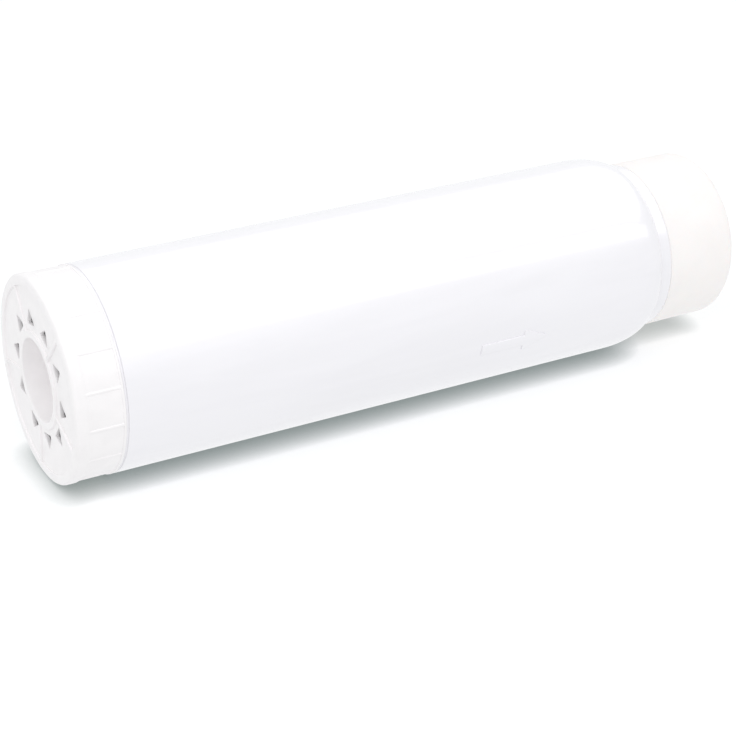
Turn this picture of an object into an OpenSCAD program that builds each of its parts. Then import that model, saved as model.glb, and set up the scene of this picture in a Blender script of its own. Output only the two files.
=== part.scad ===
// Drop-in water filter cartridge filled with activated carbon.
// It stands upright on its inlet cap: the axis is Z, the cap's face is at Z = 0
// and the soft seal is at the top. The raised flow arrow faces -Y.

/* [Housing] */
// Outside diameter of the housing tube and of the end cap
housing_od = 69; // [67:0.5:73]
// Height of the whole cartridge, from the cap's face to the top of the seal
cartridge_h = 254; // [235:1:280]
// Wall thickness of the housing
wall = 2.2; // [1.8:0.1:2.6]
// Height of the rounded shoulder under the neck ring
shoulder_h = 14.8; // [10:0.2:18]
// Radial depth of the shoulder's curve
shoulder_depth = 5.9; // [5.4:0.1:6.6]
// Radial step from the housing's side to the neck ring
neck_step = 4.7; // [4:0.1:5.2]
// Height of the neck ring
neck_h = 4.2; // [3:0.2:6]
// Radial step from the neck ring to the spigot that carries the seal
spigot_step = 3.3; // [2.4:0.1:4]
// Radius of the rounded edges at the seam and under the seal
edge_r = 0.5; // [0.3:0.1:0.8]

/* [Flow arrow] */
// Height of the arrow's tail above the cap's face
arrow_z = 144.9; // [110:1:165]
// Length of the arrow's shaft
arrow_shaft_l = 16.7; // [10:0.5:22]
// Width of the arrow's shaft
arrow_shaft_w = 4.3; // [3:0.1:6]
// Length of the arrow's head
arrow_head_l = 9.9; // [6:0.1:14]
// Width of the arrow's head
arrow_head_w = 8.9; // [7:0.1:12]
// How far the arrow stands out of the tube
arrow_raise = 0.4; // [0.2:0.1:0.8]

/* [End cap] */
// Height of the end cap, from its face to the seam
cap_h = 16.4; // [15:0.2:20]
// Gap between the cap's rim and the housing's shoulder at the seam
seam_gap = 0.8; // [0.4:0.1:1.2]
// Thickness of the cap's slotted plate
cap_plate = 2.4; // [2:0.1:3]
// Wall thickness of the cap's skirt
cap_skirt = 2.4; // [2:0.1:2.6]
// Rounding of the face's outer edge
cap_edge_r = 1.3; // [0.8:0.1:2]
// Diameter of the blind socket in the middle of the face
socket_d = 27.6; // [24:0.2:30]
// Depth of the blind socket
socket_depth = 12; // [8:0.5:14]
// Wall thickness of the cup round the socket
socket_wall = 1.8; // [1.4:0.1:2.2]
// Depth of the recessed sectors in the face
face_relief = 0.7; // [0.3:0.1:1]
// Width of the flat ring round the socket
hub_ring = 2.4; // [1.8:0.1:3]
// Width of the flat ring at the face's outer edge
face_rim = 3.6; // [2.5:0.1:4.5]
// Number of radial ribs across the face
face_ribs = 5; // [3:1:6]
// Turn of the first rib from the flow arrow's side
face_turn = 8.5; // [0:0.5:72]
// Width of a radial rib on the face
face_rib_w = 1.4; // [1:0.1:2]
// Thickness of a web inside the cap
web_t = 1.6; // [1.2:0.1:2]
// Clearance between the webs and the housing's lower neck
web_clear = 1; // [0.5:0.1:2]

/* [Inlet slots] */
// Distance from the axis to the inner edge of a slot
slot_r = 18.2; // [17.8:0.1:20]
// Radial length of a slot
slot_l = 5; // [4:0.1:6]
// Width of a slot at its inner edge
slot_w = 6; // [4:0.1:7]
// Corner radius of a slot
slot_corner = 0.5; // [0.3:0.1:0.7]
// Angle between a slot and the rib beside it
slot_turn = 18; // [16:1:20]

/* [Grip] */
// Number of grip ribs round the cap
grip_ribs = 17; // [12:1:20]
// Turn of the first grip rib from the flow arrow's side
grip_turn = 12; // [0:0.5:30]
// Width of a grip rib
grip_w = 1.8; // [1.2:0.1:2.4]
// Depth of the band between the grip ribs
grip_depth = 0.5; // [0.3:0.1:0.7]
// How far the grip ribs stay inside the cap's outside diameter
grip_inset = 0.1; // [0.05:0.05:0.2]
// Height of the smooth band below the grip ribs
grip_z = 4.4; // [3.5:0.1:6]
// Height of the smooth lip above the grip ribs
grip_lip = 0.8; // [0.5:0.1:1.5]

/* [Cap joint] */
// Radial room that the screw thread takes between skirt and lower neck
thread_room = 1; // [0.8:0.1:1.2]
// Thickness of the cap's flat gasket
gasket_t = 1.8; // [1.2:0.1:2.4]
// Radial width of the cap's flat gasket
gasket_w = 3.2; // [2.4:0.1:3.6]
// Clearance between the gasket and the cap's skirt
gasket_clear = 0.2; // [0.1:0.05:0.4]
// Gap between faces that press on each other when the cap is tight
seat_gap = 0.1; // [0.05:0.05:0.2]

/* [Filling] */
// Thickness of each expansion foam
foam_t = 8; // [5:0.5:12]
// Thickness of each felt disc
felt_t = 2; // [1:0.1:4]
// Clearance of the filling from the housing's wall
fill_clear = 0.05; // [0.02:0.01:0.1]

/* [Outlet grid] */
// Thickness of the outlet grid
grid_t = 2.2; // [1.6:0.1:3]
// Clearance round the outlet grid
grid_clear = 0.1; // [0.05:0.05:0.2]
// Diameter of a hole in the grid
grid_hole_d = 3; // [2:0.1:3.6]
// Distance between the rings of holes
grid_pitch = 6; // [5:0.1:6.6]
// Number of rings of holes
grid_rings = 3; // [1:1:3]

/* [Seal] */
// Height of the soft seal above the neck ring
seal_h = 28.6; // [24:0.2:34]
// Thickness of the seal's top
seal_top = 5; // [4:0.1:7]
// Rounding of the seal's upper edge
seal_edge_r = 4.5; // [2:0.1:4.8]
// Diameter of the outlet hole in the seal
outlet_d = 24; // [16:0.5:28]
// Diameter of the pressure groove in the seal's top
groove_d = 40; // [36:0.5:44]
// Width of the pressure groove
groove_w = 4; // [2:0.1:6]
// Depth of the pressure groove
groove_depth = 1.2; // [0.6:0.1:2]
// Clearance between the seal and its spigot
seal_clear = 0.05; // [0.02:0.01:0.1]
// Height of the retaining bead above the neck ring
bead_z = 12; // [8:0.5:18]
// How far the retaining bead stands out of the spigot
bead_h = 0.6; // [0.4:0.1:0.8]

/* [Hidden] */
$fn = 96;

arc_steps = 12;
corner_steps = 4;
cut = 1;
housing_r = housing_od / 2;
neck_r = housing_r - neck_step;
spigot_r = neck_r - spigot_step;
bore_r = housing_r - wall;

seal_z = cartridge_h - seal_h;
neck_z = seal_z - neck_h;
shoulder_z = neck_z - shoulder_h;
spigot_top_z = cartridge_h - seal_top - seal_clear;
shelf_z = seal_z - wall;

skirt_r = housing_r - cap_skirt;
lower_neck_r = skirt_r - thread_room;
lower_bore_r = lower_neck_r - wall;
lower_neck_z = cap_plate + gasket_t + seat_gap;
flange_z = cap_h + seam_gap;

socket_r = socket_d / 2;
cup_r = socket_r + socket_wall;
cup_top_z = socket_depth + socket_wall;
hub_r = socket_r + hub_ring;
relief_r = housing_r - face_rim;
web_r = lower_bore_r - web_clear;
plate_middle_z = (face_relief + cap_plate) / 2;
band_r = housing_r - grip_depth;
grip_top_z = cap_h - grip_lip;

fill_z = cup_top_z + seat_gap;
grid_z = shelf_z - grid_t;
outlet_foam_z = grid_z - foam_t;
outlet_felt_z = outlet_foam_z - felt_t;
inlet_felt_z = fill_z + foam_t;
bed_z = inlet_felt_z + felt_t;

shoulder_c = housing_r - shoulder_depth;
shoulder_rise = shoulder_h / sin(acos((neck_r - shoulder_c) / shoulder_depth));

plastic_white = [0.93, 0.93, 0.95];
cap_white = [0.94, 0.93, 0.91];
seal_cream = [0.93, 0.88, 0.86];

// Direction of a rib across the cap's face, seen from above
function rib_angle(i) = face_turn - 90 + 360 / face_ribs * i;

// Points on a quarter of an ellipse about [cx, cz], from angle a0 to a1
function arc_points(cx, cz, rx, rz, a0, a1) =
    [for (i = [0 : arc_steps])
        let (a = a0 + (a1 - a0) * i / arc_steps)
        [cx + rx * cos(a), cz + rz * sin(a)]];

// Points on a small rounded corner about [cx, cy], from angle a0 to a1
function corner_points(cx, cy, r, a0, a1) =
    [for (i = [0 : corner_steps])
        let (a = a0 + (a1 - a0) * i / corner_steps)
        [cx + r * cos(a), cy + r * sin(a)]];

// Outline of the space inside the housing, kept a clearance away from its wall
function interior_points(gap) = concat(
    [[0, lower_neck_z - cut], [lower_bore_r - gap, lower_neck_z - cut]],
    [[lower_bore_r - gap, flange_z + wall], [bore_r - gap, flange_z + wall + bore_r - lower_bore_r]],
    arc_points(shoulder_c - gap, shoulder_z, shoulder_depth - wall, shoulder_rise - wall, 0, 90),
    [[neck_r - wall - gap, shoulder_z + shoulder_rise - wall], [neck_r - wall - gap, shelf_z],
    [0, shelf_z]]);

// The filling of the housing between two heights
module filling(z0, z1) {
    intersection() {
        rotate_extrude() polygon(interior_points(fill_clear));
        translate([0, 0, z0]) cylinder(r = housing_r, h = z1 - z0);
    }
}

module housing_profile() {
    end_angle = acos((neck_r - shoulder_c) / shoulder_depth);
    polygon(concat(
        [[0, lower_neck_z], [lower_neck_r, lower_neck_z], [lower_neck_r, flange_z]],
        arc_points(housing_r - edge_r, flange_z + edge_r, edge_r, edge_r, -90, 0),
        arc_points(shoulder_c, shoulder_z, shoulder_depth, shoulder_rise, 0, end_angle),
        arc_points(neck_r - edge_r, seal_z - edge_r, edge_r, edge_r, 0, 90),
        [[spigot_r, seal_z], [spigot_r, spigot_top_z], [0, spigot_top_z]]));
}

// Flat arrow with its tail at the origin, pointing along +Y
module arrow_outline() {
    polygon([
        [-arrow_shaft_w / 2, 0], [arrow_shaft_w / 2, 0],
        [arrow_shaft_w / 2, arrow_shaft_l], [arrow_head_w / 2, arrow_shaft_l],
        [0, arrow_shaft_l + arrow_head_l],
        [-arrow_head_w / 2, arrow_shaft_l], [-arrow_shaft_w / 2, arrow_shaft_l]]);
}

module flow_arrow() {
    intersection() {
        translate([0, 0, arrow_z]) rotate([90, 0, 0])
            linear_extrude(housing_od) arrow_outline();
        difference() {
            translate([0, 0, arrow_z - cut])
                cylinder(r = housing_r + arrow_raise, h = arrow_shaft_l + arrow_head_l + 2 * cut);
            translate([0, 0, arrow_z - 2 * cut])
                cylinder(r = housing_r - wall / 2, h = arrow_shaft_l + arrow_head_l + 4 * cut);
        }
    }
}

// Ring of half-round section about the Z axis
module bead(r, z, stand_out) {
    translate([0, 0, z]) rotate_extrude() translate([r - stand_out, 0]) circle(r = 2 * stand_out);
}

module housing() color(plastic_white) {
    difference() {
        union() {
            rotate_extrude() housing_profile();
            bead(spigot_r, seal_z + bead_z, bead_h);
            flow_arrow();
        }
        rotate_extrude() polygon(interior_points(0));
        translate([0, 0, shelf_z - cut]) cylinder(r = spigot_r - wall, h = seal_h + wall);
    }
}

// Slot with three rounded corners, its base towards the axis and its tip outwards
module rounded_triangle() {
    inner = slot_r + slot_corner;
    outer = slot_r + slot_l - slot_corner;
    half = slot_w / 2 - slot_corner;
    lean = atan2(outer - inner, half);
    polygon(concat(
        corner_points(outer, 0, slot_corner, -lean, lean),
        corner_points(inner, half, slot_corner, lean, 180),
        corner_points(inner, -half, slot_corner, 180, 360 - lean)));
}

module inlet_slots() {
    for (i = [0 : face_ribs - 1])
        for (side = [-1, 1])
            rotate(rib_angle(i) + side * slot_turn)
                translate([0, 0, -cut]) linear_extrude(cap_plate + 2 * cut) rounded_triangle();
}

// Section of the cap: plate with its recessed face, skirt, grip band and blind cup
module cap_profile() {
    polygon(concat(
        [[0, socket_depth], [socket_r, socket_depth], [socket_r, 0], [hub_r, 0]],
        [[hub_r, face_relief], [relief_r, face_relief], [relief_r, 0]],
        arc_points(housing_r - cap_edge_r, cap_edge_r, cap_edge_r, cap_edge_r, -90, 0),
        [[housing_r, grip_z], [band_r, grip_z], [band_r, grip_top_z], [housing_r, grip_top_z]],
        [[housing_r, cap_h], [skirt_r, cap_h], [skirt_r, cap_plate], [cup_r, cap_plate]],
        [[cup_r, cup_top_z], [0, cup_top_z]]));
}

module face_ribs() {
    start_r = hub_r - hub_ring / 2;
    for (i = [0 : face_ribs - 1])
        rotate(rib_angle(i)) translate([start_r, -face_rib_w / 2, 0])
            cube([relief_r + face_rim / 3 - start_r, face_rib_w, plate_middle_z]);
}

module inner_webs() {
    start_r = socket_r + socket_wall / 2;
    for (i = [0 : face_ribs - 1])
        rotate(rib_angle(i)) translate([start_r, -web_t / 2, plate_middle_z])
            cube([web_r - start_r, web_t, cup_top_z - plate_middle_z]);
}

// Half-round ribs that stay just under the cap's outside diameter
module grips() {
    for (i = [0 : grip_ribs - 1])
        rotate(grip_turn - 90 + 360 / grip_ribs * i)
            translate([housing_r - grip_inset - grip_w / 2, 0, grip_z])
                cylinder(d = grip_w, h = grip_top_z - grip_z);
}

module end_cap() color(cap_white) {
    difference() {
        union() {
            rotate(rib_angle(0)) rotate_extrude() cap_profile();
            face_ribs();
            inner_webs();
            grips();
        }
        inlet_slots();
    }
}

module cap_gasket() color("dimgray") {
    outer = skirt_r - gasket_clear;
    translate([0, 0, cap_plate]) difference() {
        cylinder(r = outer, h = gasket_t);
        translate([0, 0, -cut]) cylinder(r = outer - gasket_w, h = gasket_t + 2 * cut);
    }
}

module inlet_foam() color("whitesmoke") filling(fill_z, inlet_felt_z);

module inlet_felt() color("white") filling(inlet_felt_z, bed_z);

module carbon_bed() color([0.06, 0.06, 0.06]) filling(bed_z, outlet_felt_z);

module outlet_felt() color("white") filling(outlet_felt_z, outlet_foam_z);

module outlet_foam() color("whitesmoke") filling(outlet_foam_z, grid_z);

module outlet_grid() color(plastic_white) {
    translate([0, 0, grid_z]) difference() {
        cylinder(r = neck_r - wall - grid_clear, h = grid_t);
        translate([0, 0, -cut]) {
            cylinder(d = grid_hole_d, h = grid_t + 2 * cut);
            for (ring = [1 : grid_rings])
                for (i = [0 : 6 * ring - 1])
                    rotate(60 / ring * i) translate([grid_pitch * ring, 0])
                        cylinder(d = grid_hole_d, h = grid_t + 2 * cut);
        }
    }
}

module seal_sleeve() color(seal_cream) {
    inner = spigot_r + seal_clear;
    difference() {
        rotate_extrude() polygon(concat(
            [[0, seal_z]],
            arc_points(neck_r - edge_r, seal_z + edge_r, edge_r, edge_r, -90, 0),
            arc_points(neck_r - seal_edge_r, cartridge_h - seal_edge_r, seal_edge_r, seal_edge_r, 0, 90),
            [[0, cartridge_h]]));
        translate([0, 0, seal_z - cut]) cylinder(r = inner, h = seal_h - seal_top + cut);
        bead(inner, seal_z + bead_z, bead_h);
        translate([0, 0, seal_z]) cylinder(d = outlet_d, h = seal_h + cut);
        translate([0, 0, cartridge_h - groove_depth]) difference() {
            cylinder(d = groove_d + groove_w, h = groove_depth + cut);
            translate([0, 0, -cut]) cylinder(d = groove_d - groove_w, h = groove_depth + 3 * cut);
        }
    }
}

housing();
end_cap();
cap_gasket();
inlet_foam();
inlet_felt();
carbon_bed();
outlet_felt();
outlet_foam();
outlet_grid();
seal_sleeve();
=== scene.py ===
import math

import bmesh
import bpy
from bpy.props import FloatProperty, FloatVectorProperty, IntProperty, PointerProperty
from mathutils import Matrix, Vector


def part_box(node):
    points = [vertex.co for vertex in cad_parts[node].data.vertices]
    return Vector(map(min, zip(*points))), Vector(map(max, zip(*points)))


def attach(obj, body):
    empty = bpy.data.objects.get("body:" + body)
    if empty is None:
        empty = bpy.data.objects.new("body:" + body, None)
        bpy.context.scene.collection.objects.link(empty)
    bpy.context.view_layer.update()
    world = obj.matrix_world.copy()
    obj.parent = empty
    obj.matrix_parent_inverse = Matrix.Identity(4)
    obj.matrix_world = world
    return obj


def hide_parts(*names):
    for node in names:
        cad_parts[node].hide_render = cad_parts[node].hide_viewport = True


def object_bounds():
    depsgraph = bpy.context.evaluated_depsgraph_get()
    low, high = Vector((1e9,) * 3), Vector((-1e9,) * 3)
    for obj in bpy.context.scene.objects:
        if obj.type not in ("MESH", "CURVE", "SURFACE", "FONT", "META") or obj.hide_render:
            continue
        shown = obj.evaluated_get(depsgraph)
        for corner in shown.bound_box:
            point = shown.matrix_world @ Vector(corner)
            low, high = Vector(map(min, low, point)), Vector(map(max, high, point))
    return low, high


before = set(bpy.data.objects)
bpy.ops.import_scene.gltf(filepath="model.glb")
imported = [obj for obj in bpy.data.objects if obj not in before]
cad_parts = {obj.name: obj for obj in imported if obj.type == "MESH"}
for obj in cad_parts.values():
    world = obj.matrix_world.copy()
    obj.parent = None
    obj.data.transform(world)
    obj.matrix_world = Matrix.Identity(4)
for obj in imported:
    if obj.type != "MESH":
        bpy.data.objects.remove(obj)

bl_info = {
    "name": "Carbon Filter Cartridge",
    "version": (1, 0, 0),
    "blender": (4, 5, 0),
    "location": "View3D > Sidebar > Cartridge",
    "description": "Builds the finished look of a carbon water filter cartridge around its solids",
    "category": "Add Mesh",
}

MM = 0.001
CAD_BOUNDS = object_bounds()
CAP_LOW, CAP_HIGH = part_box("end_cap")
HOUSING_LOW, HOUSING_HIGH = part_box("housing")
GASKET_LOW, GASKET_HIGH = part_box("cap_gasket")
GRID_LOW, GRID_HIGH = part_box("outlet_grid")
SEAL_LOW, SEAL_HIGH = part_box("seal_sleeve")
TURN = math.tau
ARROW_SIDE = math.radians(-90)


class CartridgeSizes(bpy.types.PropertyGroup):
    """Sizes of the cartridge that a user would change."""

    def length(name, description, default):
        return FloatProperty(name=name, description=description, default=default * MM,
                             min=0.0, unit="LENGTH", subtype="DISTANCE", precision=5)

    steps: IntProperty(name="Steps", description="Segments round the cartridge", default=200, min=20)
    wall: length("Wall", "Wall thickness of the housing", 2.2)
    seam_gap: length("Seam gap", "Gap between the cap's rim and the housing", 0.8)
    seam_depth: length("Seam depth", "Depth of the groove at the seam", 0.5)
    edge: length("Edge", "Radius of the housing's rounded edges", 0.5)
    shoulder_h: length("Shoulder height", "Height of the rounded shoulder", 14.8)
    shoulder_depth: length("Shoulder depth", "Radial depth of the shoulder's curve", 5.9)
    neck_h: length("Neck height", "Height of the neck ring", 4.2)
    spigot_step: length("Spigot step", "Radial step from the neck ring to the spigot", 3.3)
    bead_z: length("Bead height", "Height of the retaining bead above the neck ring", 12.0)
    bead_h: length("Bead", "How far the retaining bead stands out", 0.6)
    skirt: length("Skirt", "Wall thickness of the cap's skirt", 2.4)
    plate: length("Plate", "Thickness of the cap's slotted plate", 2.4)
    relief: length("Relief", "Depth of the recessed sectors in the face", 0.7)
    cap_edge: length("Cap edge", "Rounding of the face's outer edge", 1.3)
    socket_r: length("Socket radius", "Radius of the blind socket", 13.8)
    socket_depth: length("Socket depth", "Depth of the blind socket", 12.0)
    socket_wall: length("Socket wall", "Wall thickness of the cup round the socket", 1.8)
    hub_ring: length("Hub ring", "Width of the flat ring round the socket", 2.4)
    face_rim: length("Face rim", "Width of the flat ring at the face's edge", 3.6)
    rib_w: length("Rib width", "Width of a radial rib on the face", 1.4)
    web_t: length("Web", "Thickness of a web inside the cap", 1.6)
    slot_r: length("Slot radius", "Distance from the axis to a slot's inner edge", 18.2)
    slot_l: length("Slot length", "Radial length of a slot", 5.0)
    slot_w: length("Slot width", "Width of a slot at its inner edge", 6.2)
    slot_corner: length("Slot corner", "Corner radius of a slot", 0.5)
    grip_w: length("Grip width", "Width of a grip rib", 1.4)
    grip_depth: length("Grip depth", "Depth of the band between the grip ribs", 0.35)
    grip_z: length("Grip start", "Height of the smooth band below the grip ribs", 4.4)
    grip_lip: length("Grip lip", "Height of the smooth lip above the grip ribs", 0.8)
    thread_room: length("Thread room", "Radial room for the screw thread", 1.0)
    thread_pitch: length("Thread pitch", "Rise of the screw thread in one turn", 3.0)
    arrow_z: length("Arrow height", "Height of the arrow's tail", 144.9)
    arrow_shaft_l: length("Shaft length", "Length of the arrow's shaft", 16.7)
    arrow_shaft_w: length("Shaft width", "Width of the arrow's shaft", 4.3)
    arrow_head_l: length("Head length", "Length of the arrow's head", 9.9)
    arrow_head_w: length("Head width", "Width of the arrow's head", 8.9)
    arrow_raise: length("Arrow raise", "How far the arrow stands out", 0.4)
    seal_top: length("Seal top", "Thickness of the seal's top", 5.0)
    seal_edge: length("Seal edge", "Rounding of the seal's upper edge", 4.5)
    outlet_r: length("Outlet radius", "Radius of the outlet hole in the seal", 12.0)
    groove_r: length("Groove radius", "Middle radius of the pressure groove", 20.0)
    groove_w: length("Groove width", "Width of the pressure groove", 4.0)
    groove_depth: length("Groove depth", "Depth of the pressure groove", 1.2)
    hole_r: length("Hole radius", "Radius of a hole in the outlet grid", 1.5)
    hole_pitch: length("Hole pitch", "Distance between the rings of holes", 6.0)
    face_turn: FloatProperty(name="Face turn", description="Turn of the first face rib from the arrow",
                             default=math.radians(8.5), subtype="ANGLE", unit="ROTATION")
    slot_turn: FloatProperty(name="Slot turn", description="Angle between a slot and the rib beside it",
                             default=math.radians(18), subtype="ANGLE", unit="ROTATION")
    grip_turn: FloatProperty(name="Grip turn", description="Turn of the first grip rib from the arrow",
                             default=math.radians(12), subtype="ANGLE", unit="ROTATION")
    face_ribs: IntProperty(name="Face ribs", description="Radial ribs across the face", default=5, min=1)
    grip_ribs: IntProperty(name="Grip ribs", description="Grip ribs round the cap", default=17, min=1)
    hole_rings: IntProperty(name="Hole rings", description="Rings of holes in the grid", default=3, min=1)


class CartridgeColours(bpy.types.PropertyGroup):
    """Colours of the cartridge's finishes, in linear values."""

    def colour(name, description, default):
        return FloatVectorProperty(name=name, description=description, default=default,
                                   min=0.0, max=1.0, size=3, subtype="COLOR")

    housing: colour("Housing", "Cool white of the glossy housing", (0.895, 0.885, 0.915))
    cap: colour("Cap", "Slightly warm white of the end cap", (0.935, 0.915, 0.92))
    seal: colour("Seal", "Cream of the soft seal", (0.955, 0.92, 0.905))
    gasket: colour("Gasket", "Black rubber of the cap's gasket", (0.03, 0.03, 0.03))
    foam: colour("Foam", "Off-white of the open foam", (0.80, 0.80, 0.77))
    felt: colour("Felt", "White of the felt discs", (0.84, 0.84, 0.83))
    carbon: colour("Carbon", "Black of the carbon granules", (0.018, 0.018, 0.019))
    floor: colour("Floor", "White of the studio floor", (0.90, 0.91, 0.91))


# Shader maths


class Value:
    """A number that varies over a surface. Arithmetic on it adds Math nodes."""

    def __init__(self, finish, socket):
        self.finish = finish
        self.socket = socket

    def math(self, operation, *values):
        return Value(self.finish, self.finish.node("Math", {"operation": operation}, *values))

    def __add__(self, other):
        return self.math("ADD", self, other)

    __radd__ = __add__

    def __sub__(self, other):
        return self.math("SUBTRACT", self, other)

    def __rsub__(self, other):
        return self.math("SUBTRACT", other, self)

    def __mul__(self, other):
        return self.math("MULTIPLY", self, other)

    __rmul__ = __mul__

    def __truediv__(self, other):
        return self.math("DIVIDE", self, other)

    def __pow__(self, other):
        return self.math("POWER", self, other)

    def over(self, edge):
        return self.math("GREATER_THAN", self, edge)

    def smooth(self, low, high, to_low=0.0, to_high=1.0):
        settings = {"interpolation_type": "SMOOTHSTEP"}
        return Value(self.finish, self.finish.node("MapRange", settings, self, low, high, to_low, to_high))


class Finish:
    """One procedural material: adds nodes, and ends in a surface shader."""

    def __init__(self, name):
        self.material = bpy.data.materials.new(name)
        self.material.use_nodes = True
        self.tree = self.material.node_tree
        self.tree.nodes.clear()
        self.output = self.tree.nodes.new("ShaderNodeOutputMaterial")

    def link(self, value, socket):
        source = value.socket if isinstance(value, Value) else value
        if isinstance(source, bpy.types.NodeSocket):
            self.tree.links.new(source, socket)
        elif socket.type == "RGBA" and len(source) == 3:
            socket.default_value = (*source, 1.0)
        else:
            socket.default_value = source

    def node(self, kind, settings=None, *values, out=0, **named):
        made = self.tree.nodes.new("ShaderNode" + kind)
        for key, setting in (settings or {}).items():
            if key == "stops":
                while len(made.color_ramp.elements) < len(setting):
                    made.color_ramp.elements.new(1.0)
                for element, (place, tone) in zip(made.color_ramp.elements, setting):
                    element.position = place
                    element.color = tone
            else:
                setattr(made, key, setting)
        for socket, value in zip(made.inputs, values):
            if value is not None:
                self.link(value, socket)
        for name, value in named.items():
            self.link(value, made.inputs[name.replace("_", " ")])
        return made.outputs[out]

    def place(self, scale=(1.0, 1.0, 1.0)):
        """Object coordinates in millimetres, stretched by scale."""
        position = self.node("TexCoord", out=3)
        factor = tuple(s / MM for s in scale)
        return self.node("Mapping", None, position, None, None, factor)

    def noise(self, where, size_mm, detail=2.0, roughness=0.5, distortion=0.0):
        fac = self.node("TexNoise", None, Vector=where, Scale=1.0 / size_mm, Detail=detail,
                        Roughness=roughness, Distortion=distortion)
        return Value(self, fac)

    def cells(self, where, size_mm, feature="F1", randomness=1.0):
        distance = self.node("TexVoronoi", {"feature": feature}, Vector=where,
                             Scale=1.0 / size_mm, Randomness=randomness)
        return Value(self, distance)

    def blend(self, factor, first, second):
        settings = {"data_type": "RGBA"}
        made = self.tree.nodes.new("ShaderNodeMix")
        made.data_type = settings["data_type"]
        self.link(factor, made.inputs["Factor"])
        self.link(first, made.inputs[6])
        self.link(second, made.inputs[7])
        return made.outputs[2]

    def bump(self, height, strength, depth_mm, under=None):
        normal = self.node("Bump", None, Strength=strength, Distance=depth_mm * MM, Height=height)
        if under is not None:
            self.tree.links.new(under, normal.node.inputs["Normal"])
        return normal

    def surface(self, colour, roughness, normal=None, **constants):
        shader = self.node("BsdfPrincipled", None, Base_Color=colour, Roughness=roughness)
        if normal is not None:
            self.tree.links.new(normal, shader.node.inputs["Normal"])
        for name, value in constants.items():
            shader.node.inputs[name.replace("_", " ")].default_value = value
        self.tree.links.new(shader, self.output.inputs["Surface"])
        return self.material


def shade(tone, factor):
    return tuple(min(1.0, channel * factor) for channel in tone)


def moulded_gloss(name, tone):
    """Glossy moulded plastic with a faint flow of the melt and a clear skin."""
    finish = Finish(name)
    where = finish.place()
    flow = finish.noise(finish.place((1.0, 1.0, 0.16)), 9.0, 3.0, 0.55, 0.4)
    fine = finish.noise(where, 0.55, 2.0)
    colour = finish.blend(flow.smooth(0.3, 0.7), shade(tone, 0.985), shade(tone, 1.012))
    roughness = 0.26 + 0.06 * fine + 0.05 * flow
    skin = finish.bump(flow, 0.25, 0.02)
    peel = finish.bump(fine, 0.2, 0.004, under=skin)
    return finish.surface(colour, roughness, peel, IOR=1.48, Coat_Weight=0.8, Coat_Roughness=0.06)


def moulded_satin(name, tone):
    """Satin moulded plastic with a fine spark-eroded grain."""
    finish = Finish(name)
    where = finish.place()
    cloud = finish.noise(where, 7.0, 3.0)
    grain = finish.noise(where, 0.22, 3.0, 0.6)
    colour = finish.blend(cloud.smooth(0.3, 0.7), shade(tone, 0.98), shade(tone, 1.012))
    roughness = 0.36 + 0.10 * grain + 0.04 * cloud
    broad = finish.bump(cloud, 0.2, 0.03)
    normal = finish.bump(grain, 0.3, 0.012, under=broad)
    return finish.surface(colour, roughness, normal, IOR=1.48, Coat_Weight=0.12, Coat_Roughness=0.2)


def soft_rubber(name, tone):
    """Soft elastomer with a dull skin, slight mottling and fine moulding specks."""
    finish = Finish(name)
    where = finish.place()
    cloud = finish.noise(where, 11.0, 4.0, 0.6)
    grain = finish.noise(where, 0.35, 3.0, 0.6)
    specks = finish.cells(where, 1.6).smooth(0.05, 0.22)
    warm = finish.blend(cloud.smooth(0.25, 0.75), shade(tone, 0.985), shade(tone, 1.01))
    colour = finish.blend(specks * 0.5 + 0.5, shade(tone, 0.965), warm)
    roughness = 0.5 + 0.14 * grain - 0.06 * cloud
    broad = finish.bump(cloud, 0.3, 0.05)
    normal = finish.bump(grain, 0.35, 0.02, under=broad)
    return finish.surface(colour, roughness, normal, IOR=1.45, Subsurface_Weight=0.12,
                          Subsurface_Radius=(0.003, 0.0022, 0.0018), Subsurface_Scale=1.0)


def black_rubber(name, tone):
    """Black gasket rubber with a powdery bloom."""
    finish = Finish(name)
    where = finish.place()
    bloom = finish.noise(where, 2.5, 4.0, 0.65)
    grain = finish.noise(where, 0.25, 2.0)
    colour = finish.blend(bloom.smooth(0.45, 0.75), tone, shade(tone, 2.2))
    roughness = 0.55 + 0.2 * bloom
    return finish.surface(colour, roughness, finish.bump(grain, 0.4, 0.02))


def open_foam(name, tone):
    """Reticulated foam: round cells, with painted shade darkening the pores between their walls."""
    finish = Finish(name)
    where = finish.place()
    cell = finish.cells(where, 1.1)
    pore_shade = cell.smooth(0.12, 0.42)
    small = finish.cells(where, 0.5).smooth(0.1, 0.4)
    # Painted shade: the colour drops to 0.42 of the tone in the pores, large and small, where the holes would
    # lie in shade.
    colour = finish.blend(pore_shade * small, shade(tone, 0.42), tone)
    normal = finish.bump(cell, 0.9, 0.5)
    return finish.surface(colour, 0.8 + 0.1 * small, normal)


def pressed_felt(name, tone):
    """Needled felt: short crossed fibres on a soft, uneven surface."""
    finish = Finish(name)
    along = finish.noise(finish.place((0.25, 3.0, 3.0)), 0.6, 4.0, 0.7, 1.2)
    across = finish.noise(finish.place((3.0, 0.25, 3.0)), 0.6, 4.0, 0.7, 1.2)
    fibres = along.math("MAXIMUM", along, across)
    cloud = finish.noise(finish.place(), 4.0, 3.0)
    colour = finish.blend(fibres.smooth(0.35, 0.7), shade(tone, 0.78), tone)
    broad = finish.bump(cloud, 0.4, 0.3)
    normal = finish.bump(fibres, 0.8, 0.15, under=broad)
    return finish.surface(colour, 0.85 + 0.1 * fibres, normal)


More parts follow.
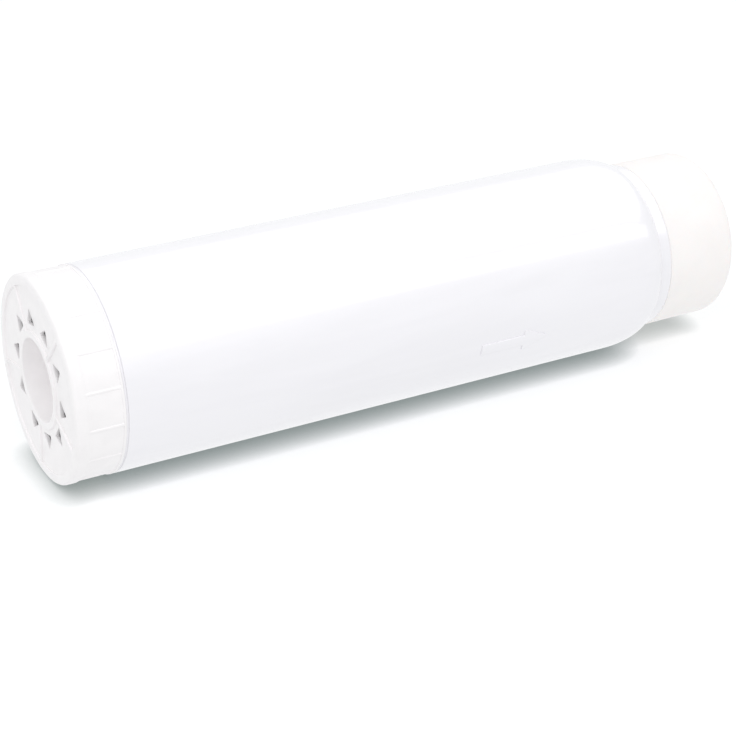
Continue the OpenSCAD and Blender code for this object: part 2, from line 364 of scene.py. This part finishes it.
def carbon_granules(name, tone):
    """Crushed carbon: angular black grains, some of them glinting, with painted shade darkening each grain
    towards its edges.
    """
    finish = Finish(name)
    where = finish.place()
    grains = finish.cells(where, 1.3)
    facets = finish.noise(where, 0.6, 2.0, 0.4, 0.8)
    glint = facets.over(0.56)
    # Painted shade: each grain is coloured lighter in its middle and darker where it meets the next grain.
    colour = finish.blend(grains.smooth(0.1, 0.6), shade(tone, 1.9), shade(tone, 0.5))
    roughness = 0.75 - 0.4 * glint
    rough_shape = finish.bump(1.0 - grains, 1.0, 0.9)
    normal = finish.bump(facets, 0.6, 0.2, under=rough_shape)
    return finish.surface(colour, roughness, normal)


# Outlines and meshes


def rounded(corners, steps=4):
    """Outline through (r, z, fillet) corners, each rounded by its own fillet."""
    points = []
    count = len(corners)
    for i, (r, z, fillet) in enumerate(corners):
        here = Vector((r, z))
        if fillet <= 0:
            points.append(here)
            continue
        before = (Vector(corners[i - 1][:2]) - here).normalized()
        after = (Vector(corners[(i + 1) % count][:2]) - here).normalized()
        half = before.angle(after) / 2
        centre = here + (before + after).normalized() * fillet / math.sin(half)
        start = (here + before * fillet / math.tan(half) - centre).normalized()
        end = (here + after * fillet / math.tan(half) - centre).normalized()
        for k in range(steps + 1):
            points.append(centre + start.slerp(end, k / steps) * fillet)
    return points


def curve(cx, cz, rx, rz, a0, a1, steps):
    """Corner entries, with no fillet, along part of an ellipse."""
    places = []
    for k in range(steps + 1):
        angle = math.radians(a0 + (a1 - a0) * k / steps)
        places.append((cx + rx * math.cos(angle), cz + rz * math.sin(angle), 0.0))
    return places


def lathe(bm, outline, steps, closed=True, start=0.0):
    """Spins an outline of (r, z) points round the Z axis."""
    turn = Matrix.Rotation(start, 3, "Z")
    verts = [bm.verts.new(turn @ Vector((p.x, 0.0, p.y))) for p in outline]
    edges = [bm.edges.new(pair) for pair in zip(verts, verts[1:])]
    if closed:
        edges.append(bm.edges.new((verts[-1], verts[0])))
    bmesh.ops.spin(bm, geom=verts + edges, cent=(0, 0, 0), axis=(0, 0, 1), dvec=(0, 0, 0),
                   angle=TURN, space=Matrix.Identity(4), steps=steps, use_merge=True)


def block(bm, low, high, round_mm=0.2):
    """A box between two corners with rounded edges."""
    made = bmesh.ops.create_cube(bm, size=1.0)["verts"]
    size = Vector(high) - Vector(low)
    bmesh.ops.scale(bm, vec=size, verts=made)
    bmesh.ops.translate(bm, vec=(Vector(low) + Vector(high)) / 2, verts=made)
    edges = list({e for v in made for e in v.link_edges})
    done = bmesh.ops.bevel(bm, geom=edges, offset=round_mm * MM, offset_type="OFFSET", segments=2,
                           profile=0.5, affect="EDGES", clamp_overlap=True, material=-1)
    return list({v for f in done["faces"] for v in f.verts} | {v for v in made if v.is_valid})


def tidy(bm, merge=1e-6):
    bmesh.ops.remove_doubles(bm, verts=bm.verts, dist=merge)
    bmesh.ops.dissolve_degenerate(bm, edges=bm.edges, dist=merge)
    bmesh.ops.recalc_face_normals(bm, faces=bm.faces)


def piece(name, bm, material, body, slot, *nodes, sharp=math.radians(34)):
    """Finishes a mesh as a named piece that rides on a body and stands for its nodes."""
    for face in bm.faces:
        face.smooth = True
    for edge in bm.edges:
        if len(edge.link_faces) == 2 and edge.calc_face_angle() > sharp:
            edge.smooth = False
    mesh = bpy.data.meshes.new(name)
    bm.to_mesh(mesh)
    bm.free()
    mesh.materials.append(material)
    made = bpy.data.objects.new(name, mesh)
    bpy.context.scene.collection.objects.link(made)
    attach(made, body)
    if nodes:
        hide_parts(*nodes)
    return made


def sizes():
    return bpy.context.scene.cartridge_sizes


def colours():
    return bpy.context.scene.cartridge_colours


def shoulder(s):
    """Centre radius and rise of the shoulder's curve, and the angle where the neck cuts it."""
    centre = CAP_HIGH.x - s.shoulder_depth
    end = math.acos((SEAL_HIGH.x - centre) / s.shoulder_depth)
    return centre, s.shoulder_h / math.sin(end), math.degrees(end)


def interior(s, gap=0.0):
    """Corners of the space inside the housing, from its axis at the bottom to its axis at the top."""
    centre, rise, _ = shoulder(s)
    bore = CAP_HIGH.x - s.wall - gap
    lower = CAP_HIGH.x - s.skirt - s.thread_room - s.wall - gap
    flange = CAP_HIGH.z + s.seam_gap + s.wall
    neck = SEAL_HIGH.x - s.wall - gap
    start = SEAL_LOW.z - s.neck_h - s.shoulder_h
    curved = curve(centre - gap, start, s.shoulder_depth - s.wall, rise - s.wall, 0, 90, 20)
    shelf = SEAL_LOW.z - s.wall
    return ([(lower, flange, 1 * MM), (bore, flange + bore - lower, 1 * MM)] + curved
            + [(neck, start + rise - s.wall, 0.0), (neck, shelf, 0.3 * MM)])


def wall_radius(corners, z):
    """Radius of the interior at a height."""
    inside = corners[0][0]
    for (r0, z0, _), (r1, z1, _) in zip(corners, corners[1:]):
        if z0 <= z <= z1 and z1 > z0:
            return r0 + (r1 - r0) * (z - z0) / (z1 - z0)
    return inside if z < corners[0][1] else corners[-1][0]


class CARTRIDGE_OT_housing(bpy.types.Operator):
    """Lathe the hollow housing and add its flow arrow and the thread on its lower neck."""

    bl_idname = "cartridge.housing"
    bl_label = "Housing"

    def execute(self, context):
        s = sizes()
        bm = bmesh.new()
        lathe(bm, rounded(self.section(s), 5), s.steps)
        tidy(bm)
        arrow(bm, s)
        root = CAP_HIGH.x - s.skirt - s.thread_room
        screw(bm, s, root - 0.15 * MM, root + 0.65 * MM, HOUSING_LOW.z + 1.2 * MM, 3.2, 0.0)
        material = moulded_gloss("housing_white", colours().housing)
        piece("housing_tube", bm, material, "housing_body", "housing", "housing")
        return {"FINISHED"}

    def section(self, s):
        centre, rise, end = shoulder(s)
        housing_r = CAP_HIGH.x
        neck_r = SEAL_HIGH.x
        spigot_r = neck_r - s.spigot_step
        neck_root = housing_r - s.skirt - s.thread_room
        flange = CAP_HIGH.z + s.seam_gap
        start = SEAL_LOW.z - s.neck_h - s.shoulder_h
        bead = SEAL_LOW.z + s.bead_z
        outer = [
            (neck_root - s.wall, HOUSING_LOW.z, 0.4 * MM),
            (neck_root, HOUSING_LOW.z, 0.4 * MM),
            (neck_root, CAP_HIGH.z + 0.12 * MM, 0.2 * MM),
            (housing_r - s.seam_depth, CAP_HIGH.z + 0.12 * MM, 0.15 * MM),
            (housing_r - s.seam_depth, flange, 0.3 * MM),
            (housing_r, flange, s.edge),
        ]
        outer += curve(centre, start, s.shoulder_depth, rise, 0, end, 28)
        outer += [(neck_r, SEAL_LOW.z, s.edge), (spigot_r, SEAL_LOW.z, 0.3 * MM)]
        outer += curve(spigot_r - s.bead_h, bead, 2 * s.bead_h, 2 * s.bead_h, -60, 60, 8)
        top = HOUSING_HIGH.z
        outer += [(spigot_r, top, 0.6 * MM), (spigot_r - s.wall, top, 0.6 * MM)]
        inner = [(spigot_r - s.wall, SEAL_LOW.z - s.wall, 0.3 * MM)]
        inner += list(reversed(interior(s)))
        return outer + inner


def screw(bm, s, inner, outer, z, turns, phase, steps_a_turn=68):
    """A helical thread ridge from radius inner to outer, thinning out at both ends."""
    root = 0.95 * MM
    crest = 0.4 * MM
    base, tip = (outer, inner) if phase else (inner, outer)
    steps = int(steps_a_turn * turns)
    fade = steps_a_turn // 8
    rings = []
    for k in range(steps + 1):
        share = min(1.0, min(k, steps - k) / fade)
        top = base + (tip - base) * share
        turn = Matrix.Rotation(phase + TURN * k / steps_a_turn, 3, "Z")
        height = z + s.thread_pitch * k / steps_a_turn
        section = ((base, -root), (top, -crest), (top, crest), (base, root))
        rings.append([bm.verts.new(turn @ Vector((r, 0.0, height + rise))) for r, rise in section])
    ridge = [bm.faces.new(rings[0]), bm.faces.new(rings[-1])]
    for low, high in zip(rings, rings[1:]):
        for i in range(4):
            ridge.append(bm.faces.new((low[i - 1], low[i], high[i], high[i - 1])))
    bmesh.ops.recalc_face_normals(bm, faces=ridge)


def arrow(bm, s):
    """The raised flow arrow, cut flat, given its height and then wrapped on the tube."""
    half_shaft = s.arrow_shaft_w / 2
    half_head = s.arrow_head_w / 2
    head_z = s.arrow_shaft_l
    tip_z = s.arrow_shaft_l + s.arrow_head_l
    corners = [
        (-half_shaft, 0.0, 0.3 * MM), (half_shaft, 0.0, 0.3 * MM), (half_shaft, head_z, 0.25 * MM),
        (half_head, head_z, 0.3 * MM), (0.0, tip_z, 0.4 * MM), (-half_head, head_z, 0.3 * MM),
        (-half_shaft, head_z, 0.25 * MM),
    ]
    sunk = 0.6 * MM
    flat = bmesh.new()
    rim = [flat.verts.new((p.x, -sunk, p.y)) for p in rounded(corners, 3)]
    face = flat.faces.new(rim)
    raised = bmesh.ops.extrude_face_region(flat, geom=[face])["geom"]
    top = [v for v in raised if isinstance(v, bmesh.types.BMVert)]
    bmesh.ops.translate(flat, vec=(0, sunk + s.arrow_raise, 0), verts=top)
    top_edges = [e for e in flat.edges if all(v in top for v in e.verts)]
    bmesh.ops.bevel(flat, geom=top_edges, offset=0.16 * MM, offset_type="OFFSET", segments=3,
                    profile=0.5, affect="EDGES", clamp_overlap=True, material=-1)
    for x in range(-4, 5):
        bmesh.ops.bisect_plane(flat, geom=flat.verts[:] + flat.edges[:] + flat.faces[:], dist=1e-7,
                               plane_co=(x * MM, 0, 0), plane_no=(1, 0, 0))
    bmesh.ops.triangulate(flat, faces=flat.faces)
    for vert in flat.verts:
        radius = CAP_HIGH.x + vert.co.y
        angle = ARROW_SIDE + vert.co.x / CAP_HIGH.x
        vert.co = Vector((radius * math.cos(angle), radius * math.sin(angle), s.arrow_z + vert.co.z))
    bmesh.ops.recalc_face_normals(flat, faces=flat.faces)
    mesh = bpy.data.meshes.new("arrow_blank")
    flat.to_mesh(mesh)
    flat.free()
    bm.from_mesh(mesh)
    bpy.data.meshes.remove(mesh)


def rib_angle(s, i):
    return ARROW_SIDE + s.face_turn + TURN * i / s.face_ribs


class CARTRIDGE_OT_end_cap(bpy.types.Operator):
    """Build the screw cap with its slotted face, blind socket, ribs, webs and grip."""

    bl_idname = "cartridge.end_cap"
    bl_label = "End cap"

    def execute(self, context):
        s = sizes()
        bm = bmesh.new()
        slot_ring_in = s.slot_r - 0.8 * MM
        slot_ring_out = s.slot_r + s.slot_l + 0.9 * MM
        for i in range(s.face_ribs):
            self.slotted_sector(bm, s, slot_ring_in, slot_ring_out, rib_angle(s, i))
        bmesh.ops.scale(bm, vec=(MM, MM, MM), verts=bm.verts)
        start = rib_angle(s, 0) - TURN / s.face_ribs / 2
        for chain in self.sections(s, slot_ring_in, slot_ring_out):
            lathe(bm, chain, s.steps, closed=False, start=start)
        tidy(bm, 4e-6)
        self.ribs(bm, s)
        self.grips(bm, s)
        skirt_r = CAP_HIGH.x - s.skirt
        screw(bm, s, skirt_r - 0.65 * MM, skirt_r + 0.15 * MM, GASKET_HIGH.z + 1.4 * MM, 2.9, math.pi)
        material = moulded_satin("cap_white", colours().cap)
        piece("inlet_cap", bm, material, "cap_body", "end_cap", "end_cap")
        return {"FINISHED"}

    def sections(self, s, slot_in, slot_out):
        """Three open outlines: hub with socket, rim with skirt, and inner cup."""
        r = CAP_HIGH.x
        top = CAP_HIGH.z
        hub_r = s.socket_r + s.hub_ring
        relief_r = r - s.face_rim
        cup_r = s.socket_r + s.socket_wall
        cup_top = s.socket_depth + s.socket_wall
        band_r = r - s.grip_depth
        grip_top = top - s.grip_lip
        skirt_r = r - s.skirt
        soft = 0.25 * MM
        hub = [
            (0.0, s.socket_depth, 0.0), (s.socket_r, s.socket_depth, 0.8 * MM),
            (s.socket_r, 0.0, 0.35 * MM), (hub_r, 0.0, soft), (hub_r, s.relief, soft),
            (slot_in, s.relief, 0.0),
        ]
        rim = [
            (slot_out, s.relief, 0.0), (relief_r, s.relief, soft), (relief_r, 0.0, soft),
            (r, 0.0, s.cap_edge), (r, s.grip_z - 0.6 * MM, 1.2 * MM), (band_r, s.grip_z + 0.6 * MM, 1.2 * MM),
            (band_r, grip_top, 0.15 * MM), (r, grip_top, 0.15 * MM), (r, top, 0.2 * MM),
            (skirt_r, top, 0.3 * MM), (skirt_r, s.plate, 0.5 * MM), (slot_out, s.plate, 0.0),
        ]
        cup = [
            (slot_in, s.plate, 0.0), (cup_r, s.plate, 0.5 * MM), (cup_r, cup_top, 0.4 * MM),
            (0.0, cup_top, 0.0),
        ]
        return [rounded(hub), rounded(rim), rounded(cup)]

    def slot_outline(self, s, angle, grow):
        """A slot grown by a margin: three corner arcs, base towards the axis and tip outwards."""
        radius = s.slot_corner + grow
        inner = s.slot_r + s.slot_corner
        outer = s.slot_r + s.slot_l - s.slot_corner
        half = s.slot_w / 2 - s.slot_corner
        lean = math.atan2(outer - inner, half)
        arcs = ((outer, 0.0, -lean, lean), (inner, half, lean, math.pi),
                (inner, -half, math.pi, TURN - lean))
        turn = Matrix.Rotation(angle, 2)
        points = []
        for x, y, first, last in arcs:
            for k in range(5):
                a = first + (last - first) * k / 4
                points.append(turn @ Vector((x + radius * math.cos(a), y + radius * math.sin(a))))
        return points

    def slotted_sector(self, bm, s, inner, outer, middle):
        """One rib's sector of the plate in millimetres, with the slots on both sides of the rib."""
        share = s.steps // s.face_ribs
        edge = middle - TURN / s.face_ribs / 2
        angles = [edge + TURN / s.face_ribs * k / share for k in range(share + 1)]
        frame_line = [Vector((inner * math.cos(a), inner * math.sin(a))) for a in angles]
        frame_line += [Vector((outer * math.cos(a), outer * math.sin(a))) for a in reversed(angles)]
        lip = 0.3 * MM
        levels = ((s.relief, lip), (s.relief + lip * 0.3, lip * 0.3), (s.relief + lip, 0.0),
                  (s.plate - lip, 0.0), (s.plate, lip))
        rims = {}
        for side in (-1, 1):
            for z, grow in levels:
                outline = self.slot_outline(s, middle + side * s.slot_turn, grow)
                rims[side, z] = [bm.verts.new(Vector((p.x, p.y, z)) / MM) for p in outline]
            for (low, _), (high, _) in zip(levels, levels[1:]):
                below, above = rims[side, low], rims[side, high]
                for i in range(len(below)):
                    bm.faces.new((below[i - 1], below[i], above[i], above[i - 1]))
        for z in (s.relief, s.plate):
            frame_loop = [bm.verts.new(Vector((p.x, p.y, z)) / MM) for p in frame_line]
            edges = [bm.edges.new((frame_loop[i - 1], frame_loop[i])) for i in range(len(frame_loop))]
            for side in (-1, 1):
                rim = rims[side, z]
                edges += [bm.edges.get((rim[i - 1], rim[i])) for i in range(len(rim))]
            bmesh.ops.triangle_fill(bm, edges=edges, use_beauty=True, normal=(0, 0, 1))

    def ribs(self, bm, s):
        """Ribs across the recessed face and the webs behind them."""
        hub_r = s.socket_r + s.hub_ring
        relief_r = CAP_HIGH.x - s.face_rim
        web_in = s.socket_r + s.socket_wall / 2
        web_out = CAP_HIGH.x - s.skirt - s.thread_room - s.wall - 1.0 * MM
        middle = (s.relief + s.plate) / 2
        for i in range(s.face_ribs):
            turn = Matrix.Rotation(rib_angle(s, i), 3, "Z")
            rib = block(bm, (hub_r - 0.8 * MM, -s.rib_w / 2, 0.04 * MM),
                        (relief_r + 0.8 * MM, s.rib_w / 2, middle), 0.22)
            bmesh.ops.rotate(bm, cent=(0, 0, 0), matrix=turn, verts=rib)
            web = block(bm, (web_in, -s.web_t / 2, middle),
                        (web_out, s.web_t / 2, s.socket_depth + s.socket_wall - 0.02 * MM), 0.25)
            bmesh.ops.rotate(bm, cent=(0, 0, 0), matrix=turn, verts=web)

    def grips(self, bm, s):
        """Half-round grip ribs in the band round the cap."""
        radius = s.grip_w / 2
        low = s.grip_z - 0.3 * MM
        high = CAP_HIGH.z - s.grip_lip + 0.3 * MM
        centre_r = CAP_HIGH.x - 0.05 * MM - radius
        for i in range(s.grip_ribs):
            angle = ARROW_SIDE + s.grip_turn + TURN * i / s.grip_ribs
            place = Matrix.Translation((centre_r * math.cos(angle), centre_r * math.sin(angle),
                                        (low + high) / 2))
            bmesh.ops.create_cone(bm, cap_ends=True, segments=20, radius1=radius, radius2=radius,
                                  depth=high - low, matrix=place)


class CARTRIDGE_OT_gasket(bpy.types.Operator):
    """Lathe the flat gasket inside the cap."""

    bl_idname = "cartridge.gasket"
    bl_label = "Gasket"

    def execute(self, context):
        s = sizes()
        outer = GASKET_HIGH.x
        inner = outer - 3.2 * MM
        soft = 0.35 * MM
        seat = GASKET_LOW.z + 0.03 * MM
        corners = [(inner, seat, soft), (outer, seat, soft),
                   (outer, GASKET_HIGH.z, soft), (inner, GASKET_HIGH.z, soft)]
        bm = bmesh.new()
        lathe(bm, rounded(corners, 3), s.steps)
        tidy(bm)
        material = black_rubber("gasket_rubber", colours().gasket)
        piece("flat_gasket", bm, material, "gasket_body", "cap_gasket", "cap_gasket")
        return {"FINISHED"}


class CARTRIDGE_OT_filling(bpy.types.Operator):
    """Build the carbon bed and the foam and felt discs that hold it."""

    bl_idname = "cartridge.filling"
    bl_label = "Filling"

    def execute(self, context):
        tones = colours()
        foam = open_foam("foam_open", tones.foam)
        felt = pressed_felt("felt_pressed", tones.felt)
        carbon = carbon_granules("carbon_grains", tones.carbon)
        self.disc("inlet_foam", "inlet_foam_pad", foam, "foam", 0.8 * MM)
        self.disc("inlet_felt", "inlet_felt_disc", felt, "felt", 0.5 * MM)
        self.disc("carbon_bed", "granule_bed", carbon, "carbon", 0.3 * MM)
        self.disc("outlet_felt", "outlet_felt_disc", felt, "felt", 0.5 * MM)
        self.disc("outlet_foam", "outlet_foam_pad", foam, "foam", 0.8 * MM)
        return {"FINISHED"}

    def disc(self, node, name, material, slot, soft):
        """A layer that fills the housing between its node's lowest and highest faces."""
        s = sizes()
        low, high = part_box(node)
        bore = interior(s, 0.08 * MM)
        side = [(r, z, 0.0) for r, z, _ in bore if low.z + soft * 2 < z < high.z - soft * 2]
        corners = [(0.0, low.z, 0.0), (wall_radius(bore, low.z), low.z, soft)]
        corners += side + [(wall_radius(bore, high.z), high.z, soft), (0.0, high.z, 0.0)]
        bm = bmesh.new()
        lathe(bm, rounded(corners, 4), s.steps // 2, closed=False)
        tidy(bm)
        piece(name, bm, material, "housing_body", slot, node)


class CARTRIDGE_OT_outlet_grid(bpy.types.Operator):
    """Cut the rings of holes through the outlet grid's disc."""

    bl_idname = "cartridge.outlet_grid"
    bl_label = "Outlet grid"

    def execute(self, context):
        s = sizes()
        outlines = [self.ring(GRID_HIGH.x, 96)]
        centres = [Vector((0.0, 0.0))]
        for ring in range(1, s.hole_rings + 1):
            for i in range(6 * ring):
                angle = TURN * i / (6 * ring)
                centres.append(Vector((math.cos(angle), math.sin(angle))) * s.hole_pitch * ring)
        outlines += [self.ring(s.hole_r, 20, centre) for centre in centres]
        bm = bmesh.new()
        edges = []
        for outline in outlines:
            loop = [bm.verts.new((p.x, p.y, GRID_LOW.z)) for p in outline]
            edges += [bm.edges.new((loop[i - 1], loop[i])) for i in range(len(loop))]
        bmesh.ops.triangle_fill(bm, edges=edges, use_beauty=True, normal=(0, 0, 1))
        up = bmesh.ops.extrude_face_region(bm, geom=bm.faces[:], use_keep_orig=True)["geom"]
        lifted = [v for v in up if isinstance(v, bmesh.types.BMVert)]
        bmesh.ops.translate(bm, vec=(0, 0, GRID_HIGH.z - GRID_LOW.z), verts=lifted)
        bmesh.ops.recalc_face_normals(bm, faces=bm.faces)
        rims = [e for e in bm.edges if len(e.link_faces) == 2 and e.calc_face_angle() > 1.2]
        bmesh.ops.bevel(bm, geom=rims, offset=0.2 * MM, offset_type="OFFSET", segments=2,
                        profile=0.5, affect="EDGES", clamp_overlap=True, material=-1)
        material = moulded_satin("grid_white", colours().housing)
        piece("perforated_grid", bm, material, "housing_body", "housing", "outlet_grid")
        return {"FINISHED"}

    def ring(self, radius, count, centre=Vector((0.0, 0.0))):
        angles = (TURN * k / count for k in range(count))
        return [centre + Vector((math.cos(a), math.sin(a))) * radius for a in angles]


class CARTRIDGE_OT_seal(bpy.types.Operator):
    """Lathe the soft seal that is stretched over the housing's spigot."""

    bl_idname = "cartridge.seal"
    bl_label = "Seal"

    def execute(self, context):
        s = sizes()
        low, high = SEAL_LOW.z, SEAL_HIGH.z
        outer = SEAL_HIGH.x
        bore = outer - s.spigot_step + 0.06 * MM
        bead = low + s.bead_z
        under = high - s.seal_top
        groove_in = s.groove_r - s.groove_w / 2
        groove_out = s.groove_r + s.groove_w / 2
        floor = high - s.groove_depth
        corners = [(bore, low, 0.3 * MM), (outer, low, s.edge), (outer, high, s.seal_edge)]
        corners += [(groove_out, high, 0.3 * MM), (groove_out, floor, 0.5 * MM),
                    (groove_in, floor, 0.5 * MM), (groove_in, high, 0.4 * MM),
                    (s.outlet_r, high, 0.8 * MM), (s.outlet_r, under, 0.5 * MM),
                    (bore, under, 0.3 * MM)]
        corners += curve(bore - s.bead_h, bead, 2 * s.bead_h, 2 * s.bead_h, 60, -60, 8)
        bm = bmesh.new()
        lathe(bm, rounded(corners, 8), s.steps)
        tidy(bm)
        material = soft_rubber("seal_cream", colours().seal)
        piece("soft_seal", bm, material, "housing_body", "seal", "seal_sleeve")
        return {"FINISHED"}


# Stage: the cartridge stands in its frame, and the main camera is turned on its side with it,
# so that it lies across the picture as on a table

LYING_UP = Matrix.Rotation(math.radians(164.5), 3, "Z") @ Vector((1, 0, 0))
LYING_ALONG = Vector((0, 0, 1))
LYING_BACK = LYING_UP.cross(LYING_ALONG)
CAMERA_YAW = 0.4979
CAMERA_PITCH = 0.4695
CAMERA_DISTANCE = 676.1 * MM
CAMERA_TARGET = 98.57 * MM
CAMERA_SIDE = 18.38 * MM
CAMERA_LIFT = -17.35 * MM
CAMERA_LENS = 97.83


def lying(along, back, up):
    """A direction or an offset from the axis, given as the part lies across the picture."""
    return LYING_ALONG * along + LYING_BACK * back + LYING_UP * up


class CARTRIDGE_OT_stage(bpy.types.Operator):
    """Set the camera, the pale floors, the world and the soft lamps."""

    bl_idname = "cartridge.stage"
    bl_label = "Stage"

    def execute(self, context):
        self.camera(context)
        self.world(context)
        self.lamps(context)
        floor = floor_finish("studio_floor", colours().floor)
        radius = CAP_HIGH.x
        table = Matrix.Translation(lying(0, 0, -radius) + LYING_ALONG * 0.12)
        basis = Matrix((LYING_ALONG, LYING_BACK, LYING_UP)).transposed().to_4x4()
        self.plane(context, "table_floor", table @ basis, 6.0, floor)
        self.plane(context, "standing_floor", Matrix.Identity(4), 6.0, floor)
        context.scene.view_settings.view_transform = "Standard"
        return {"FINISHED"}

    def camera(self, context):
        data = bpy.data.cameras.new("camera")
        data.lens = CAMERA_LENS
        data.sensor_width = 36.0
        data.clip_start = 0.01
        data.clip_end = 20.0
        made = bpy.data.objects.new("camera", data)
        context.scene.collection.objects.link(made)
        look = lying(math.sin(CAMERA_YAW) * math.cos(CAMERA_PITCH),
                     math.cos(CAMERA_YAW) * math.cos(CAMERA_PITCH), -math.sin(CAMERA_PITCH))
        right = look.cross(LYING_UP).normalized()
        up = right.cross(look)
        target = LYING_ALONG * CAMERA_TARGET + right * CAMERA_SIDE + up * CAMERA_LIFT
        made.matrix_world = (Matrix.Translation(target - look * CAMERA_DISTANCE)
                             @ Matrix((right, up, -look)).transposed().to_4x4())
        context.scene.camera = made

    def world(self, context):
        world = bpy.data.worlds.new("studio")
        world.use_nodes = True
        context.scene.world = world
        tree = world.node_tree
        path = tree.nodes.new("ShaderNodeLightPath")
        seen = path.outputs["Is Camera Ray"]
        for kind in ("Is Glossy Ray", "Is Transmission Ray"):
            either = tree.nodes.new("ShaderNodeMath")
            either.operation = "MAXIMUM"
            tree.links.new(seen, either.inputs[0])
            tree.links.new(path.outputs[kind], either.inputs[1])
            seen = either.outputs[0]
        strength = tree.nodes.new("ShaderNodeMapRange")
        tree.links.new(seen, strength.inputs["Value"])
        strength.inputs["To Min"].default_value = 0.92
        strength.inputs["To Max"].default_value = 1.0
        back = tree.nodes["Background"]
        back.inputs["Color"].default_value = (0.985, 0.995, 1.0, 1.0)
        tree.links.new(strength.outputs[0], back.inputs["Strength"])

    def lamps(self, context):
        """A soft key from above, and two long cards that only show as reflections."""
        self.lamp(context, "key", 38.0, 1.0, 1.3, 1.4, 0.42, shift=-0.4)
        self.lamp(context, "overhead_card", -12.0, 1.0, 2.18, 3.0, 1.25, shift=0.43, card=True)
        self.lamp(context, "front_card", 48.0, 1.0, 0.34, 3.0, 1.7, shift=0.43, card=True)

    def lamp(self, context, name, angle, distance, width, length, radiance, shift, card=False):
        """A rectangular lamp along the cartridge, at an angle from its upper side to the viewer's."""
        data = bpy.data.lights.new(name, "AREA")
        data.shape = "RECTANGLE"
        data.size, data.size_y = length, width
        data.energy = radiance * math.pi * length * width
        data.color = (1.0, 0.975, 0.985)
        made = bpy.data.objects.new(name, data)
        context.scene.collection.objects.link(made)
        turn = math.radians(angle)
        away = lying(0, -math.sin(turn), math.cos(turn))
        along = CAD_BOUNDS[1].z / 2 + shift
        where = LYING_ALONG * along + away * distance
        made.matrix_world = (Matrix.Translation(where)
                             @ Matrix((LYING_ALONG, away.cross(LYING_ALONG), away)).transposed().to_4x4())
        made.visible_camera = False
        made.visible_diffuse = not card
        made.visible_transmission = not card

    def plane(self, context, name, matrix, size, material):
        bm = bmesh.new()
        bmesh.ops.create_grid(bm, x_segments=1, y_segments=1, size=size / 2)
        bmesh.ops.transform(bm, matrix=matrix, verts=bm.verts)
        mesh = bpy.data.meshes.new(name)
        bm.to_mesh(mesh)
        bm.free()
        mesh.materials.append(material)
        made = bpy.data.objects.new(name, mesh)
        context.scene.collection.objects.link(made)
        made.visible_diffuse = False
        made.visible_glossy = False
        made.visible_transmission = False
        made.visible_shadow = False


def floor_finish(name, tone):
    """White floor seen from its upper side only, which keeps the lamps' shadows and has a contact shadow
    painted in from ambient occlusion.
    """
    finish = Finish(name)
    # Painted shadow: ambient occlusion darkens the floor's colour, and its glow with it, towards the shadow
    # tone close to the cartridge.
    contact_shadow_mask = Value(finish, finish.node("AmbientOcclusion", {"samples": 8}, Distance=0.008, out=1))
    shadow = (0.22, 0.26, 0.25)
    shaded = finish.blend(contact_shadow_mask, shadow, tone)
    open_floor = finish.node("BsdfDiffuse", None, Color=shaded)
    glow = finish.node("Emission", None, Color=shaded, Strength=0.17)
    lit = finish.node("AddShader", None, open_floor, glow)
    clear = finish.node("BsdfTransparent", None, (1.0, 1.0, 1.0))
    behind = finish.node("NewGeometry", None, out=6)
    shown = finish.node("MixShader", None, behind, lit, clear)
    finish.tree.links.new(shown, finish.output.inputs["Surface"])
    return finish.material


STEPS = ("stage", "housing", "end_cap", "gasket", "filling", "outlet_grid", "seal")


class CARTRIDGE_PT_panel(bpy.types.Panel):
    """The cartridge's pieces, sizes and colours, in the sidebar."""

    bl_label = "Carbon Filter Cartridge"
    bl_idname = "CARTRIDGE_PT_panel"
    bl_space_type = "VIEW_3D"
    bl_region_type = "UI"
    bl_category = "Cartridge"

    def draw(self, context):
        for step in STEPS:
            self.layout.operator("cartridge." + step)
        for group in (context.scene.cartridge_sizes, context.scene.cartridge_colours):
            box = self.layout.box()
            for key in group.bl_rna.properties.keys():
                if key not in ("rna_type", "name"):
                    box.prop(group, key)


CLASSES = (
    CartridgeSizes, CartridgeColours, CARTRIDGE_OT_stage, CARTRIDGE_OT_housing, CARTRIDGE_OT_end_cap,
    CARTRIDGE_OT_gasket, CARTRIDGE_OT_filling, CARTRIDGE_OT_outlet_grid, CARTRIDGE_OT_seal,
    CARTRIDGE_PT_panel,
)


def register():
    for made in CLASSES:
        bpy.utils.register_class(made)
    bpy.types.Scene.cartridge_sizes = PointerProperty(type=CartridgeSizes)
    bpy.types.Scene.cartridge_colours = PointerProperty(type=CartridgeColours)


def unregister():
    del bpy.types.Scene.cartridge_colours
    del bpy.types.Scene.cartridge_sizes
    for made in reversed(CLASSES):
        bpy.utils.unregister_class(made)


def main():
    register()
    for step in STEPS:
        getattr(bpy.ops.cartridge, step)()


if __name__ == "__main__":
    main()
